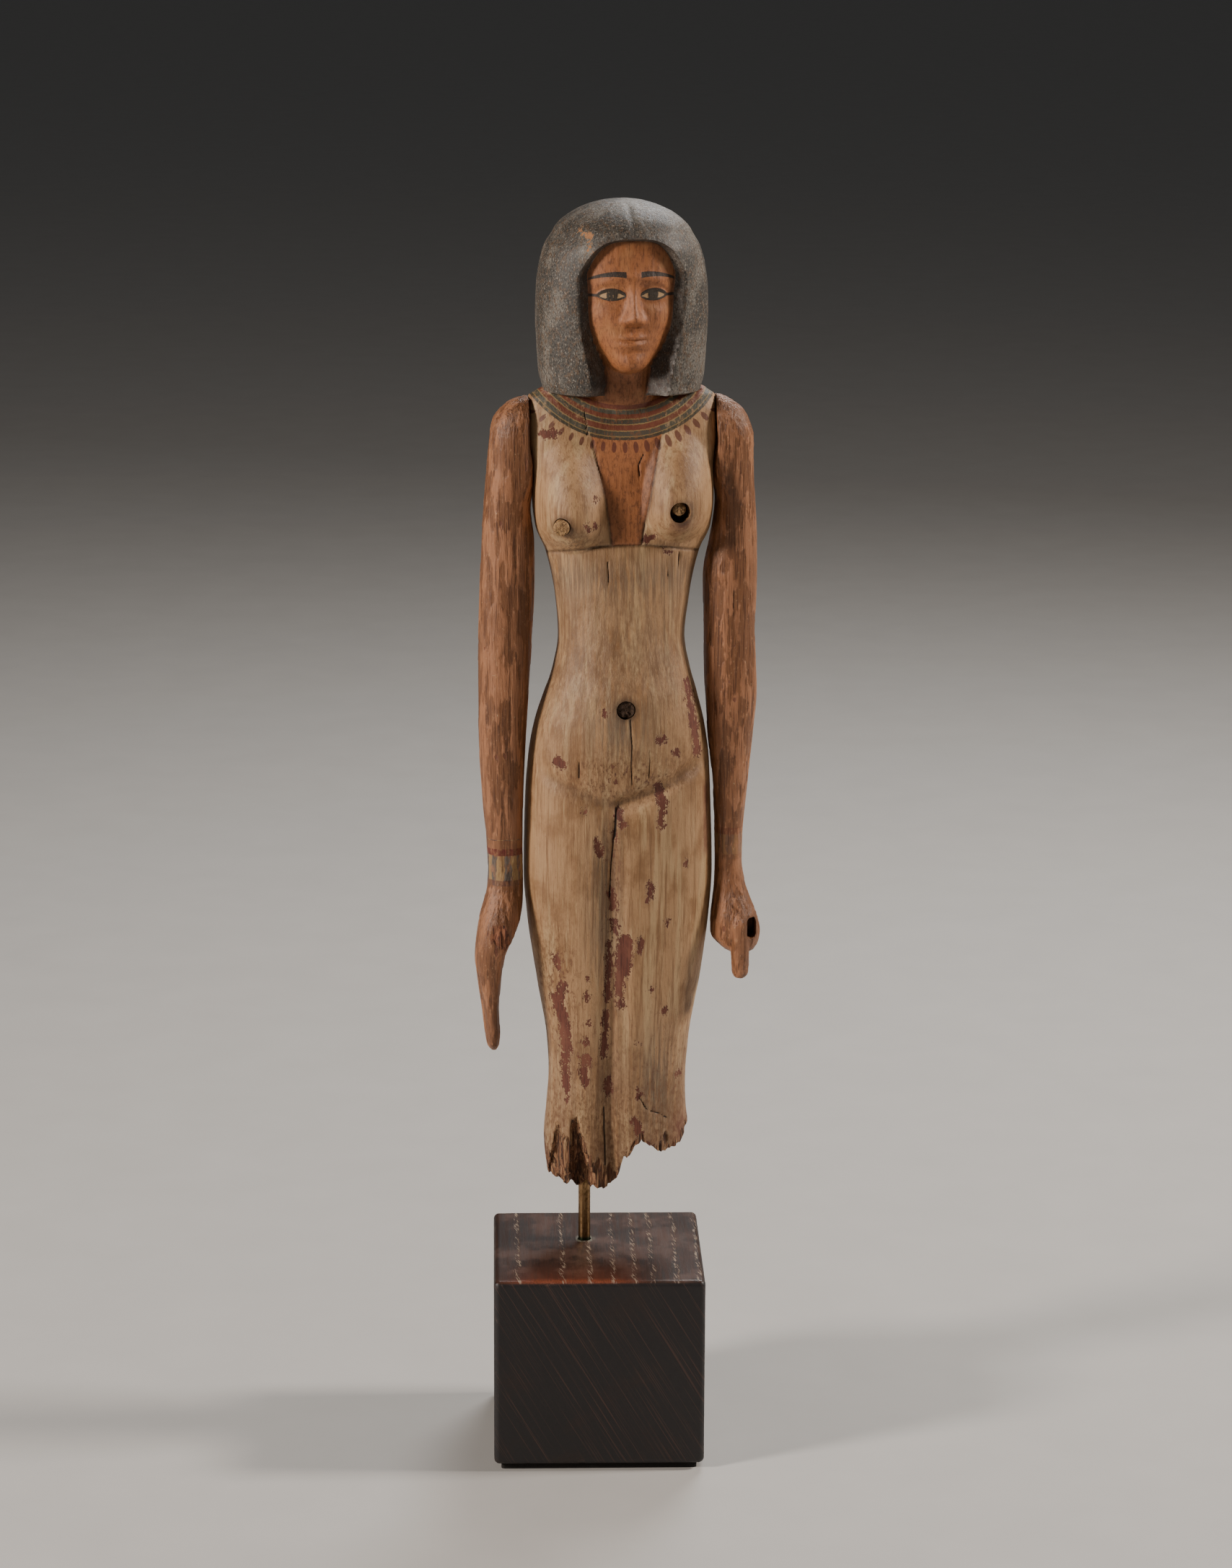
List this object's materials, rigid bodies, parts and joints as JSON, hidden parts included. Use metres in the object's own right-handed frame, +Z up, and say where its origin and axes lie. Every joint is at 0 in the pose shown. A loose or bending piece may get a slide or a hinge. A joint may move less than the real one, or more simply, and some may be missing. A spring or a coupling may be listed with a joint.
{
  "type": "wooden statuette of a standing woman",
  "caption": "Painted wooden statuette of a standing woman with hanging arms, broken at the calves, held up by a brass rod in a square wooden block.",
  "frame": {"origin": "centre of the pad's underside, where the block stands", "axes": "+Z up, -Y the way the figure looks, +X to the figure's own left"},
  "size_m": [0.1118, 0.0826, 0.4929],
  "materials": {
    "painted_wood": "worn cream paint over wood",
    "ochre_wood": "worn orange-brown paint over wood",
    "peg_wood": "bare aged wood",
    "dark_plug": "dark rough fill",
    "brass_rod": "patinated brass",
    "stained_wood": "dark stained, waxed",
    "black_pad": "matt"
  },
  "bodies": {
    "root": {"figure_body": "painted_wood", "right_arm": "ochre_wood", "left_arm": "ochre_wood", "right_nipple_peg": "peg_wood", "left_nipple_peg": "peg_wood", "navel_plug": "dark_plug", "mount_rod": "brass_rod", "mount_block": "stained_wood", "block_pad": "black_pad"}
  },
  "joints": []
}
